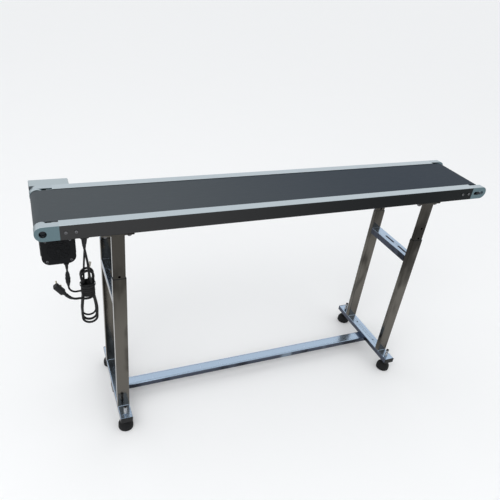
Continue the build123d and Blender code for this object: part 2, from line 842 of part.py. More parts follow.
def motor_lead():
    start = cord_tube("lead_start", lead_start, lead_radius)
    arm = cord_tube("lead_arm", lead_arm, lead_radius)
    return group([start, arm, cord_tube("lead_rise", lead_rise, lead_radius)])


def cord_hank():
    middle = (hank_left + hank_right) / 2
    width = hank_right - hank_left
    upper = Pos(middle, (hank_top + hank_waist) / 2) * RectangleRounded(width, hank_top - hank_waist, 16)
    low_top = hank_waist + 30
    lower = Pos(middle, (low_top + hank_bottom) / 2) * RectangleRounded(width - 4, low_top - hank_bottom, 20)
    y = (hank_y - hank_depth / 2, hank_y + hank_depth / 2)
    hank = prism_y(upper + lower, y)
    faces = hank.faces().filter_by(Axis.Y)
    return fillet(faces.edges(), radius=6)


def cord_tie():
    middle = (hank_left + hank_right) / 2
    width = hank_right - hank_left
    inner = Pos(middle, hank_y) * RectangleRounded(width, hank_depth, 6)
    around = 2 * tie_thickness
    outer = Pos(middle, hank_y) * RectangleRounded(width + around, hank_depth + around, 7.6)
    z = (tie_z, tie_z + tie_width)
    band = prism_z(outer, z) - prism_z(inner, (z[0] - 1, z[1] + 1))
    head_y = hank_y - hank_depth / 2 - tie_thickness
    head = block((middle + 2, middle + 10), (head_y - 4, head_y + 0.5), (tie_z - 1, tie_z + tie_width + 1))
    return band + head


def rail_grommet():
    x = (power_drop[0][0] + lead_rise[-1][0]) / 2
    y = -half_width + rail_flange / 2
    z = power_drop[0][2]
    collar = prism_z(Pos(x, y) * RectangleRounded(25, 18, 6), (z, rail_bottom))
    return collar + prism_z(Pos(x, y) * grommet_hole(), (rail_bottom - 0.5, rail_bottom + rail_wall))


def grommet_hole():
    return RectangleRounded(20, 13, 5)


def motor_gland():
    x, y, bottom = lead_start[0]
    top = motor_z - gearbox_size / 2
    collar = rod_z(7, x, y, (top - 4, top))
    sleeve = Pos(x, y, (bottom + top - 4) / 2) * Cone(lead_radius + 0.7, lead_radius + 2.2, top - 4 - bottom)
    return collar + sleeve


def lead_connector():
    x, y, top = lead_start[-1]
    bottom = lead_arm[0][2]
    outline = [(0, bottom), (3.6, bottom), (5.8, bottom + 10), (6.6, bottom + 12), (6.6, bottom + 22),
               (7.2, bottom + 22.5), (7.2, bottom + 27), (6.2, bottom + 27.5), (6.2, top - 8), (4, top),
                (0, top)]
    profile = make_face(Polyline(*outline, close=True))
    return Pos(x, y, 0) * revolve(Plane.XZ * profile, axis=Axis.Z)


def plug_plane():
    back = Vector(0, 0, 0) - plug_axis
    across = Vector(-plug_axis.Z, 0, plug_axis.X)
    return Plane(origin=power_arm[0], x_dir=across, z_dir=back)


def mains_plug():
    relief = Pos(0, 0, plug_relief / 2) * Cone(cord_radius + 0.8, 6.2, plug_relief)
    body = prism_z(RectangleRounded(17, 20, 6), (plug_relief, plug_relief + plug_body))
    ends = body.edges().group_by(Axis.Z)
    body = fillet(ends[0] + ends[-1], radius=3.5)
    return plug_plane().location * (relief + body)


def plug_pins():
    middle = plug_relief + plug_body / 2
    pins = []
    for side in (-1, 1):
        pin = rod_y(2.4, 0, (10, 29), middle + side * pin_pitch / 2)
        tip = pin.edges().filter_by(GeomType.CIRCLE).sort_by(Axis.Y)[-1]
        pins.append(plug_plane().location * fillet(tip, radius=1.2))
    return group(pins)


# ---- write every node
def main():
    os.makedirs("parts", exist_ok=True)
    rail = side_rail()
    hole = Pos((power_drop[0][0] + lead_rise[-1][0]) / 2, -half_width + rail_flange / 2) * grommet_hole()
    save(rail - prism_z(hole, (rail_bottom - 1, rail_bottom + rail_wall + 1)), "side_rail_near")
    save(far_copy(rail), "side_rail_far")
    save(slider_bed(), "slider_bed")
    save(group(bed_brace(x) for x in brace_places()), "bed_braces")
    for name, shape in (("drive_bracket", drive_bracket()), ("tail_bracket", tail_bracket())):
        save(shape, name + "_near")
        save(far_copy(shape), name + "_far")
    bearing = drive_bearing()
    save(group([bearing, far_copy(bearing)]), "drive_bearings")
    save(bracket_screws(), "bracket_screws")
    save(tension_screws(), "tension_screws")
    save(conveyor_belt(), "conveyor_belt")

    save(drive_roller(), "drive_roller")
    save(drive_shaft(), "drive_shaft")
    save(grooved_pulley(roller_pulley_radius, drive_x, axle_z, shaft_radius), "roller_pulley")
    save(tail_axle(), "tail_axle")
    save(roller_tube(tail_x), "tail_roller")
    save(tail_bearings(), "tail_bearings")

    for name, x in leg_places.items():
        save(group(upper_tube(name, side) for side in (NEAR, FAR)), "upper_tubes_" + name)
        save(group(lower_tube(x, side) for side in (NEAR, FAR)), "lower_tubes_" + name)
        save(crossbar(x), "crossbar_" + name)
        save(base_bar(x), "base_bar_" + name)
        for side_name, side in (("near", NEAR), ("far", FAR)):
            save(levelling_foot(x, side), "foot_" + name + "_" + side_name)
    save(group(leg_plate(x, side) for x in leg_places.values() for side in (NEAR, FAR)), "leg_plates")
    save(leg_bolts(), "leg_bolts")
    save(stretcher(), "stretcher")
    save(tube_plugs(), "tube_plugs")
    save(lock_screws(), "lock_screws")
    save(stretcher_bolts(), "stretcher_bolts")
    save(foot_nuts(), "foot_nuts")

    save(drive_plate(), "drive_plate")
    save(gearbox(), "gearbox")
    save(gearbox_bolts(), "gearbox_bolts")
    save(motor_body(), "motor_body")
    save(motor_cover(), "motor_cover")
    save(gearbox_shaft(), "gearbox_shaft")
    save(grooved_pulley(motor_pulley_radius, motor_x, gear_shaft_z, shaft_radius), "motor_pulley")
    save(v_belt(), "v_belt")
    save(guard_cover(), "guard_cover")
    save(guard_fixings(), "guard_fixings")
    save(speed_control(), "speed_control")
    save(speed_knob(), "speed_knob")
    save(rocker_frame(), "rocker_frame")
    save(rocker_switch(), "rocker_switch")

    save(power_cord(), "power_cord")
    save(motor_lead(), "motor_lead")
    save(cord_hank(), "cord_hank")
    save(cord_tie(), "cord_tie")
    save(rail_grommet(), "rail_grommet")
    save(motor_gland(), "motor_gland")
    save(lead_connector(), "lead_connector")
    save(mains_plug(), "mains_plug")
    save(plug_pins(), "plug_pins")


main()
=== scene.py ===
import json
import math

import bmesh
import bpy
from bpy.props import FloatProperty, FloatVectorProperty, PointerProperty
from mathutils import Matrix, Vector


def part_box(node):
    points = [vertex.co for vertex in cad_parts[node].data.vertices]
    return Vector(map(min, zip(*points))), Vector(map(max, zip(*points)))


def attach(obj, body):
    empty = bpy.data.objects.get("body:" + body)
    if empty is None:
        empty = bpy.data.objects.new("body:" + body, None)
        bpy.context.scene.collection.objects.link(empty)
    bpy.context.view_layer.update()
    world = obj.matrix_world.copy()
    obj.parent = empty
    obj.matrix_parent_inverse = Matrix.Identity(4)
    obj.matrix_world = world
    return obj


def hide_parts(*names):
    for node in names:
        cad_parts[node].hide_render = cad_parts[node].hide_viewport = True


bl_info = {
    "name": "Belt conveyor section looks",
    "version": (1, 0, 0),
    "blender": (4, 5, 0),
    "location": "3D view > Sidebar > Conveyor",
    "description": "Finishes, cords and small fittings of a slider-bed belt conveyor",
    "category": "Object",
}

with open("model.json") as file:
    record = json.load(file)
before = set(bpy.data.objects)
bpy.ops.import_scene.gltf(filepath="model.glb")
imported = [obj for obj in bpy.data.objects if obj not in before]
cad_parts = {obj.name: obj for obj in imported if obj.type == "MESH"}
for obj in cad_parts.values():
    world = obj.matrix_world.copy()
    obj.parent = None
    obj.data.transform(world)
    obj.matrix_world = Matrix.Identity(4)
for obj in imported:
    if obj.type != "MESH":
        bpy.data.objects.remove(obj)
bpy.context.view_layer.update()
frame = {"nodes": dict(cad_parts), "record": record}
NODES = frame["nodes"]
SLOT_OF = {part["node"]: part["material_slot"] for part in frame["record"]["subparts"]}

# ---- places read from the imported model, metres
BASE_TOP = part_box("base_bar_left")[1].z
LEG_PLATE_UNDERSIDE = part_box("leg_plates")[0].z
MOTOR_LOW, MOTOR_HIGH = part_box("motor_body")
COVER_LOW, COVER_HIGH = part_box("motor_cover")
GEARBOX_LOW, GEARBOX_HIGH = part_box("gearbox")
KNOB_LOW, KNOB_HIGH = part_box("speed_knob")
GUARD_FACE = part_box("guard_cover")[1].y
FOOT_NODES = [name for name in NODES if name.startswith("foot_") and name != "foot_nuts"]

# ---- names and measures used throughout, metres and radians
STAND, BED = "stand", "conveyor_bed"
UPPER_TUBE_DEPTH = 0.0166
HALF_TURN, FULL_TURN = math.pi, 2 * math.pi

# ---- cord routes, metres, from each cord's exit onwards
POWER_DROP = [(-0.6295, -0.113, 0.731), (-0.6295, -0.114, 0.709), (-0.6265, -0.1158, 0.684),
              (-0.6235, -0.117, 0.661), (-0.622, -0.1182, 0.643), (-0.6215, -0.1208, 0.628),
              (-0.6205, -0.1215, 0.612), (-0.618, -0.1205, 0.597)]
WRAP_ENTRY = [(-0.6092, -0.1015, 0.5945), (-0.6091, -0.1055, 0.5890), (-0.6093, -0.1115, 0.5855)]
POWER_ARM = [(-0.6240, -0.1275, 0.5416), (-0.6325, -0.1280, 0.5412), (-0.6412, -0.1262, 0.5411),
             (-0.650, -0.121, 0.541), (-0.6596, -0.1172, 0.5371), (-0.670, -0.1138, 0.5377),
             (-0.6792, -0.112, 0.5426), (-0.6856, -0.112, 0.5512)]
LEAD_ARM = [(-0.6765, -0.088, 0.623), (-0.6765, -0.088, 0.612), (-0.6765, -0.088, 0.590),
            (-0.6765, -0.088, 0.566), (-0.6764, -0.0886, 0.5579), (-0.673, -0.0896, 0.5505),
            (-0.6668, -0.0906, 0.5454), (-0.659, -0.0914, 0.5432), (-0.650, -0.0918, 0.5446),
            (-0.639, -0.0925, 0.5445), (-0.6275, -0.0940, 0.5400), (-0.6165, -0.0965, 0.5300),
            (-0.6090, -0.0985, 0.5160)]
LEAD_RISE = [(-0.6430, -0.0995, 0.5300), (-0.6385, -0.0995, 0.5520), (-0.6355, -0.0995, 0.5740),
             (-0.6345, -0.1000, 0.5950), (-0.6340, -0.1015, 0.6140), (-0.633, -0.104, 0.628),
             (-0.632, -0.1056, 0.643), (-0.6305, -0.1072, 0.661), (-0.6285, -0.1078, 0.684),
             (-0.6245, -0.1078, 0.709), (-0.623, -0.110, 0.731)]

# ---- the wound hank, metres: each turn has its half width, top, bottom and sideways drift
HANK_X, HANK_FRONT = -0.626, -0.1190
HANK_TURNS = ((0.0206, 0.6245, 0.4455, 0.0009), (0.0197, 0.6215, 0.4530, -0.0012),
              (0.0203, 0.6260, 0.4470, 0.0005))
WAIST_TOP, WAIST_BOTTOM, FLANK_Z, RUN_TOP, RUN_BOTTOM = 0.587, 0.570, 0.532, 0.503, 0.488
FOLD_SHOULDER = 0.0085
LEAD_FOLD_HALF, LEAD_FOLD_BOTTOM, LEAD_FOLD_Y = 0.0195, 0.4600, -0.0990
WRAP_CENTRE = (-0.626, -0.1100)
WRAP_TOP, WRAP_PITCH, WRAP_RADIUS = 0.5840, 0.0068, 0.0170
WRAP_TURNS, WRAP_FIRST_ANGLE, WRAP_STEPS = 6.1, 0.489, 12

# ---- the camera: its place in metres, and the directions it looks along
CAMERA_PLACE = (-0.7348, -1.3302, 1.4508)
CAMERA_RIGHT = Vector((0.930385, -0.35441, 0.093687))
CAMERA_DOWN = Vector((-0.118835, -0.533353, -0.837504))
CAMERA_FORWARD = Vector((0.346788, 0.768068, -0.53834))
CAMERA_LENS, CAMERA_SHIFT = 36.9, (0.0316, 0.0202)


class Signal:
    """A shader socket that takes part in expressions; each operator adds a Math node."""

    def __init__(self, shader, socket):
        self.shader = shader
        self.socket = socket

    def maths(self, operation, *values):
        return self.shader.node("ShaderNodeMath", {"operation": operation}, dict(enumerate(values)))

    def __add__(self, other):
        return self.maths("ADD", self, other)

    __radd__ = __add__

    def __sub__(self, other):
        return self.maths("SUBTRACT", self, other)

    def __rsub__(self, other):
        return self.maths("SUBTRACT", other, self)

    def __mul__(self, other):
        return self.maths("MULTIPLY", self, other)

    __rmul__ = __mul__

    def __abs__(self):
        return self.maths("ABSOLUTE", self)


class Shader:
    """The nodes of one finish, ending in a Principled shader."""

    def __init__(self, name):
        self.material = bpy.data.materials.new(name)
        self.material.use_nodes = True
        self.tree = self.material.node_tree
        self.tree.nodes.clear()
        self.surface = self.tree.nodes.new("ShaderNodeBsdfPrincipled")
        output = self.tree.nodes.new("ShaderNodeOutputMaterial")
        self.tree.links.new(self.surface.outputs[0], output.inputs["Surface"])

    def connect(self, target, inputs):
        """Links sockets and sets plain values on a node's inputs."""
        for key, value in inputs.items():
            if isinstance(value, Signal):
                self.tree.links.new(value.socket, target.inputs[key])
            else:
                target.inputs[key].default_value = value

    def node(self, kind, settings=None, inputs=None, output=0):
        """Adds one node: its settings first, then its values and links; returns one of its outputs."""
        made = self.tree.nodes.new(kind)
        for key, value in (settings or {}).items():
            setattr(made, key, value)
        self.connect(made, inputs or {})
        return Signal(self, made.outputs[output])

    def place(self):
        """Where on the object a point is, in metres."""
        return self.node("ShaderNodeTexCoord", output="Object")

    def along(self, vector, axis):
        """One part, X, Y or Z, of a vector."""
        return self.node("ShaderNodeSeparateXYZ", inputs={0: vector}, output=axis)

    def upward(self):
        """1 on faces that look up, 0 on upright ones and undersides."""
        # This mask places the painted sky reflections on tops and the painted shade on sides of the metal
        # finishes; the enamel uses it for dust.
        facing = self.along(self.node("ShaderNodeNewGeometry", output="Normal"), "Z")
        return self.ramped(facing, 0.35, 0.85)

    def ramped(self, value, low, high):
        """0 below low, 1 above high, and smooth between."""
        settings = {"interpolation_type": "SMOOTHSTEP", "clamp": True}
        inputs = {"Value": value, "From Min": low, "From Max": high}
        return self.node("ShaderNodeMapRange", settings, inputs)

    def noise(self, scale, stretch=(1, 1, 1), detail=3.0, roughness=0.5):
        """Noise from 0 to 1, finer along an axis where stretch is larger."""
        moved = self.node("ShaderNodeVectorMath", {"operation": "MULTIPLY"}, {0: self.place(), 1: stretch})
        inputs = {"Vector": moved, "Scale": scale, "Detail": detail, "Roughness": roughness}
        return self.node("ShaderNodeTexNoise", inputs=inputs)

    def mixed(self, factor, first, second):
        """A colour between two others."""
        inputs = {0: factor, 6: opaque(first), 7: opaque(second)}
        return self.node("ShaderNodeMix", {"data_type": "RGBA"}, inputs, output=2)

    def bump(self, height, distance, strength=0.5, before=None):
        """A surface normal bent by a height, on top of an earlier bump if there is one."""
        inputs = {"Height": height, "Distance": distance, "Strength": strength}
        if before is not None:
            inputs["Normal"] = before
        return self.node("ShaderNodeBump", inputs=inputs)

    def finish(self, **inputs):
        """Sets the shader's sockets, named in lower case, and returns the material."""
        named = {}
        for key, value in inputs.items():
            named[key.replace("_", " ").title().replace("Ior", "IOR")] = value
        if not isinstance(named["Base Color"], Signal):
            named["Base Color"] = opaque(named["Base Color"])
        self.connect(self.surface, named)
        return self.material


def opaque(colour):
    """A colour with full alpha; a socket stays as it is."""
    return colour if isinstance(colour, Signal) else (*colour[:3], 1.0)


def shade(colour, factor):
    """A colour made lighter or darker, whether it is plain numbers or a socket."""
    if isinstance(colour, Signal):
        inputs = {0: colour, "Scale": factor}
        return colour.shader.node("ShaderNodeVectorMath", {"operation": "SCALE"}, inputs)
    return tuple(channel * factor for channel in colour[:3])


# ---- finishes
def brushed_metal(name, top, side, run, roughness, streak=0.18, drive_end_reflection=None):
    """Drawn or rolled metal with fine lines along run: a painted sky reflection where it looks up and
    painted shade on its upright sides. The sides may take a lighter painted reflection towards the drive
    end."""
    shader = Shader(name)
    # Painted reflection: the upright faces turn lighter towards the drive end.
    if drive_end_reflection is not None:
        end = shader.ramped(0.0 - shader.along(shader.place(), "X"), -0.55, 0.75)
        side = shader.mixed(end, side, drive_end_reflection)
    lines = shader.noise(60, run, detail=5, roughness=0.65)
    cloud = shader.noise(9, detail=2)
    smudge = shader.ramped(shader.noise(26, detail=4, roughness=0.6), 0.52, 0.74)
    # Painted light: faces that look up take the top tone as a painted sky reflection, and upright faces
    # take the side tone as painted shade.
    up = shader.upward()
    tone = shader.mixed(up, side, top)
    darker = shader.mixed(up, shade(side, 0.55), shade(top, 0.72))
    colour = shader.mixed(lines * streak * 2 + cloud * streak, tone, darker)
    rough = roughness + lines * 0.10 + smudge * 0.07
    normal = shader.bump(lines, 0.00004, 0.35)
    return shader.finish(base_color=colour, roughness=rough, metallic=1.0, normal=normal)


def polished_tube(name, top, side, glint, roughness):
    """Mirror-polished stainless with painted light: a painted sky reflection where it looks up, painted
    dark and light reflection bands on the sides broken by ripples in the wall, and painted shade high up
    under the bed.
    """
    shader = Shader(name)
    wave = shader.noise(7, (1.6, 1.6, 0.55), detail=3, roughness=0.55)
    lines = shader.noise(45, (30, 30, 1), detail=4, roughness=0.6)
    up = shader.upward()
    # Painted shade: the sides darken towards the top, under the bed.
    painted_bed_shade = shader.ramped(shader.along(shader.place(), "Z"), 0.35, 0.66)
    side = shader.mixed(painted_bed_shade, side, shade(side, 0.45))
    # Painted reflections: dark and light bands on the upright faces.
    upright = shader.mixed(shader.ramped(wave, 0.36, 0.50), shade(side, 0.42), side)
    upright = shader.mixed(shader.ramped(wave, 0.60, 0.72), upright, glint)
    # Painted sky reflection on faces that look up.
    colour = shader.mixed(up, upright, shader.mixed(lines * 0.4, top, shade(top, 0.8)))
    dirt = shader.ramped(shader.noise(38, detail=5, roughness=0.65), 0.55, 0.8)
    rough = roughness + lines * 0.05 + dirt * 0.16
    ripple = shader.bump(wave, 0.0012, 0.25)
    normal = shader.bump(lines, 0.00003, 0.3, ripple)
    return shader.finish(base_color=colour, roughness=rough, metallic=1.0, normal=normal)


def belt_cover(name, colour, lighter):
    """Matt belt cover: fine orange-peel grain, scuffs along the run, dust and a painted sheen lightening it
    towards the drive end, and a finger splice.
    """
    shader = Shader(name)
    place = shader.place()
    along_x, across_y = shader.along(place, "X"), shader.along(place, "Y")
    grain = shader.noise(1500, detail=2)
    scuffs = shader.ramped(shader.noise(30, (1, 14, 1), detail=5, roughness=0.7), 0.50, 0.80)
    blotches = shader.noise(6, detail=3)
    # Dust and painted sheen: the cover turns lighter towards the drive end.
    dust = shader.ramped(0.0 - along_x, -0.55, 0.75)
    zigzag = abs((across_y * 50).maths("FRACT", across_y * 50) - 0.5) * 0.06
    splice = 1 - shader.ramped(abs(along_x + zigzag - 0.31), 0.0004, 0.0012)
    base = shader.mixed(dust * 0.8 + blotches * 0.2, colour, lighter)
    base = shader.mixed(scuffs * (dust * 0.16 + 0.05), base, shade(lighter, 1.5))
    base = shader.mixed(splice * 0.5, base, shade(colour, 0.5))
    normal = shader.bump(grain, 0.00012, 0.45)
    normal = shader.bump(splice, 0.0002, 0.4, normal)
    rough = 0.60 + blotches * 0.12 - scuffs * 0.08
    return shader.finish(base_color=base, roughness=rough, metallic=0.0, normal=normal,
                         specular_ior_level=0.30)


def sheath(name, colour, grain_scale, roughness):
    """Rubber or flexible sheath with a dull bloom and a fine moulded grain."""
    shader = Shader(name)
    grain = shader.noise(grain_scale, detail=3)
    bloom = shader.ramped(shader.noise(40, detail=4, roughness=0.6), 0.45, 0.75)
    base = shader.mixed(bloom * 0.25, colour, (0.035, 0.034, 0.033))
    rough = roughness + bloom * 0.15 + grain * 0.05
    normal = shader.bump(grain, 0.00008, 0.4)
    return shader.finish(base_color=base, roughness=rough, metallic=0.0, normal=normal,
                         specular_ior_level=0.22)


def moulded(name, colour, roughness):
    """Moulded plastic with spark-eroded texture and handling marks."""
    shader = Shader(name)
    spark = shader.noise(2600, detail=2)
    handled = shader.ramped(shader.noise(55, detail=3), 0.48, 0.72)
    base = shader.mixed(handled * 0.3, colour, shade(colour, 2.2))
    rough = roughness - handled * 0.12 + spark * 0.06
    return shader.finish(base_color=base, roughness=rough, normal=shader.bump(spark, 0.00007, 0.5),
                         specular_ior_level=0.25)


def enamel(name, colour, peel, roughness, chips):
    """Sprayed paint with orange peel, a few worn specks and dust on what looks up."""
    shader = Shader(name)
    skin = shader.noise(peel, detail=2)
    specks = shader.ramped(shader.noise(130, detail=5, roughness=0.7), 0.70, 0.74)
    dust = shader.upward() * shader.noise(22, detail=4)
    base = shader.mixed(dust * 0.12, colour, (0.05, 0.049, 0.048))
    base = shader.mixed(specks * chips, base, (0.07, 0.07, 0.075))
    rough = roughness + skin * 0.08 + dust * 0.18
    normal = shader.bump(skin, 0.00015, 0.35)
    return shader.finish(base_color=base, roughness=rough, metallic=0.0, normal=normal,
                         specular_ior_level=0.1)


def plated(name, colour, roughness):
    """Bright plating or ground steel with turning marks and a faint haze."""
    shader = Shader(name)
    haze = shader.noise(90, detail=4)
    marks = shader.noise(700, (1, 1, 0.2), detail=3)
    base = shader.mixed(haze * 0.5, colour, shade(colour, 0.6))
    rough = roughness + haze * 0.15
    normal = shader.bump(marks, 0.00004, 0.4)
    return shader.finish(base_color=base, roughness=rough, metallic=1.0, normal=normal)


def galvanised(name, colour):
    """Zinc-coated sheet with spangle."""
    shader = Shader(name)
    inputs = {"Vector": shader.place(), "Scale": 140.0}
    spangle = shader.node("ShaderNodeTexVoronoi", {"feature": "F1"}, inputs, output="Color")
    tone = shader.along(spangle, "X")
    base = shader.mixed(tone, shade(colour, 0.55), colour)
    return shader.finish(base_color=base, roughness=0.34 + tone * 0.2, metallic=1.0,
                         normal=shader.bump(tone, 0.00005, 0.3))


def make_finishes(tones):
    """One material for each material slot of the record."""
    tone = {key: tuple(getattr(tones, key)) for key in tones.__annotations__}
    # bar is the painted sky reflection on the tops of the polished bars and tubes.
    bar, black = tone["bar_top"], tone["black"]
    return {
        # Rails: painted sky reflection on top, painted shade on the upright faces, and a painted reflection
        # towards the drive end.
        "rail_aluminium": brushed_metal("anodised_rail", tone["rail_top"], tone["rail_side"], (0.4, 40, 40),
                                        0.24, streak=0.10, drive_end_reflection=tone["rail_haze"]),
        # Brackets: painted sky reflection on top, painted shade on the upright faces.
        "bracket_aluminium": brushed_metal("satin_bracket", tone["rail_top"], tone["bracket_face"],
                                           (6, 6, 6), 0.34, streak=0.2),
        "belt_pvc": belt_cover("belt_cover", tone["belt"], tone["belt_dusty"]),
        "galvanised_sheet": galvanised("galvanised_sheet", (0.58, 0.60, 0.62)),
        # Polished tubes and bars: painted sky reflection on top, and painted shade with painted reflection
        # bands on the sides.
        "stainless_tube": polished_tube("polished_tube", bar, tone["tube_side"], tone["tube_glint"], 0.10),
        "stainless_bar": polished_tube("polished_bar", bar, tone["bar_side"], shade(bar, 0.5), 0.16),
        "dark_fastener": plated("oxide_screw", (0.16, 0.16, 0.17), 0.3),
        "pale_nylon": moulded("natural_nylon", (0.50, 0.48, 0.42), 0.5),
        "zinc_fastener": plated("zinc_plate", (0.70, 0.72, 0.74), 0.18),
        "bearing_steel": plated("ground_steel", (0.030, 0.032, 0.036), 0.34),
        # Rollers: a lighter top tone and a darker side tone, painted light.
        "roller_steel": brushed_metal("turned_roller", (0.55, 0.57, 0.60), (0.45, 0.46, 0.48), (2, 60, 60),
                                      0.28),
        # Guard: painted sky reflection on top, painted shade on the sides.
        "guard_sheet": brushed_metal("guard_sheet", tone["guard_top"], tone["guard_side"], (30, 30, 1),
                                     0.30),
        "motor_black": enamel("motor_enamel", black, 900, 0.46, 0.35),
        "belt_rubber": sheath("vee_belt_rubber", (0.03, 0.03, 0.03), 900, 0.7),
        "black_plastic": moulded("black_nylon", shade(black, 0.9), 0.45),
        "foot_rubber": sheath("foot_rubber", shade(black, 0.8), 800, 0.62),
        "cord_rubber": sheath("cord_sheath", shade(black, 0.55), 1600, 0.40),
        "brass_pin": plated("nickel_pin", (0.72, 0.66, 0.50), 0.2),
    }


FINISHES = {}


# ---- shared building of meshes
def new_piece(name, built, slot, body, smooth=True):
    """Makes a piece of a finished mesh, with its finish, riding on a body."""
    mesh = bpy.data.meshes.new(name)
    built.to_mesh(mesh)
    built.free()
    for face in mesh.polygons:
        face.use_smooth = smooth
    piece = bpy.data.objects.new(name, mesh)
    bpy.context.scene.collection.objects.link(piece)
    mesh.materials.append(FINISHES[slot])
    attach(piece, body)
    return piece


def steered_rings(built, points, radii, sides, closed=False, flatten=1.0):
    """Skins a tube along points, each with its own radius, its section carried without twist."""
    rings = []
    normal = None
    count = len(points)
    for index, point in enumerate(points):
        ahead = points[(index + 1) % count] if closed or index + 1 < count else point
        behind = points[index - 1] if closed or index else point
        tangent = (ahead - behind).normalized()
        if normal is None:
            normal = tangent.orthogonal().normalized()
        normal = (normal - tangent * normal.dot(tangent)).normalized()
        across = tangent.cross(normal)
        ring = []
        for side in range(sides):
            angle = FULL_TURN * side / sides
            offset = normal * math.cos(angle) + across * math.sin(angle) * flatten
            ring.append(built.verts.new(point + offset * radii[index]))
        rings.append(ring)
    spans = zip(rings, rings[1:] + ([rings[0]] if closed else []))
    for first, second in spans:
        for side in range(sides):
            after = (side + 1) % sides
            built.faces.new((first[side], first[after], second[after], second[side]))
    if not closed:
        built.faces.new(list(reversed(rings[0])))
        built.faces.new(rings[-1])


def add_block(built, low, high):
    """A box between two corners; returns its vertices."""
    corners = bmesh.ops.create_cube(built, size=1.0)["verts"]
    middle = (Vector(low) + Vector(high)) / 2
    size = Vector(high) - Vector(low)
    for vertex in corners:
        vertex.co = Vector(a * b for a, b in zip(vertex.co, size)) + middle
    return corners


def add_turned(built, profile, centre, axis, sides=40):
    """Turns a profile of (distance along axis, radius) pairs about an axis through centre."""
    axis = Vector(axis).normalized()
    points = [Vector(centre) + axis * distance for distance, _ in profile]
    spin = axis.orthogonal().normalized()
    across = axis.cross(spin)
    angles = [FULL_TURN * side / sides for side in range(sides)]
    directions = [spin * math.cos(angle) + across * math.sin(angle) for angle in angles]
    rings = []
    for point, (_, radius) in zip(points, profile):
        rings.append([built.verts.new(point + direction * radius) for direction in directions])
    for first, second in zip(rings, rings[1:]):
        for side in range(sides):
            after = (side + 1) % sides
            built.faces.new((first[side], first[after], second[after], second[side]))
    built.faces.new(list(reversed(rings[0])))
    built.faces.new(rings[-1])


def soften(piece, width):
    """Breaks a piece's sharp edges."""
    bevel = piece.modifiers.new("softened_edges", "BEVEL")
    bevel.width = width
    bevel.segments = 2
    bevel.limit_method = "ANGLE"
    bevel.angle_limit = math.radians(40)


# ---- cords
def cord_curve(name, points, radius):
    """A cord as one smooth open spline with the route's points as its control points."""
    curve = bpy.data.curves.new(name, "CURVE")
    curve.dimensions = "3D"
    curve.resolution_u = 10
    curve.bevel_depth = radius
    curve.bevel_resolution = 5
    curve.use_fill_caps = True
    spline = curve.splines.new("NURBS")
    spline.points.add(len(points) - 1)
    for target, point in zip(spline.points, points):
        target.co = (*point, 1.0)
    spline.order_u = 3
    spline.use_endpoint_u = True
    piece = bpy.data.objects.new(name, curve)
    bpy.context.scene.collection.objects.link(piece)
    curve.materials.append(FINISHES["cord_rubber"])
    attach(piece, BED)
    return piece


def centreline(piece):
    """The points of a cord's own smooth line, from its exit onwards."""
    bare = bpy.data.objects.new("bare_line", piece.data.copy())
    bare.data.bevel_depth = 0.0
    bpy.context.scene.collection.objects.link(bare)
    bpy.context.view_layer.update()
    mesh = bpy.data.meshes.new_from_object(bare.evaluated_get(bpy.context.evaluated_depsgraph_get()))
    points = [vertex.co.copy() for vertex in mesh.vertices]
    bpy.data.objects.remove(bare)
    return points


def fold_arc(half, centre_z, first, y, pitch):
    """One fold of the hank, clockwise from the angle first, with a shoulder before and after it."""
    side = 1 if first == 0 else -1
    shoulder_z = centre_z + FOLD_SHOULDER * side
    points = [(HANK_X + side * half, y, shoulder_z)]
    reach = half * 1.04
    for step in range(6):
        angle = math.radians(first - 15 - 30 * step)
        points.append((HANK_X + math.cos(angle) * reach, y + pitch * step / 20,
                       centre_z + math.sin(angle) * reach))
    points.append((HANK_X - side * half, y + pitch / 4, shoulder_z))
    return points


def hank_turn(half, top, bottom, y, pitch, drift):
    """One turn of the hank: down its right run, round the low fold, up its left run, over the high fold."""
    waist, flank, high = half * 0.48, half * 0.80, half * 0.82
    run = ((waist, 0, WAIST_TOP), (waist, 0, WAIST_BOTTOM), (flank, drift, FLANK_Z), (half, drift, RUN_TOP),
           (half, drift, RUN_BOTTOM))
    down, up = [], []
    for (width, shift, z), back in zip(run, (0, 0, 0, 0.1, 0.1)):
        down.append((HANK_X + width + shift, y + pitch * back, z))
    for (width, shift, z), back in zip(reversed(run), (0.45, 0.45, 0.5, 0.55, 0.6)):
        up.append((HANK_X - width + shift, y + pitch * back, z))
    low_fold = fold_arc(half, bottom + half, 0, y + pitch * 0.15, pitch)
    high_fold = fold_arc(high, top - high, 180, y + pitch * 0.65, pitch)
    return down + low_fold + up + high_fold


def waist_wraps():
    """Turns of the cord wound round the middle of the hank, from the top downwards."""
    points = []
    for step in range(int(WRAP_TURNS * WRAP_STEPS) + 1):
        angle = WRAP_FIRST_ANGLE + FULL_TURN * step / WRAP_STEPS
        radius = WRAP_RADIUS * (1.0 + 0.03 * math.sin(2.3 * step))
        points.append((WRAP_CENTRE[0] + radius * math.cos(angle), WRAP_CENTRE[1] - radius * math.sin(angle),
                       WRAP_TOP - WRAP_PITCH * step / WRAP_STEPS))
    return points


def cord_sleeve(name, line, radii, ribs, slot):
    """A moulded strain relief that follows the cord's own line, thick at its first point."""
    reach = [0.0]
    for before, here in zip(line, line[1:]):
        reach.append(reach[-1] + (here - before).length)
    thick, thin = radii
    rings = [thick + (thin - thick) * distance / reach[-1] for distance in reach]
    for index, distance in enumerate(reach):
        phase = distance / reach[-1] * ribs
        rings[index] *= 1.0 + 0.10 * (math.cos(FULL_TURN * phase) > 0)
    built = bmesh.new()
    steered_rings(built, line, rings, 20)
    return new_piece(name, built, slot, BED)


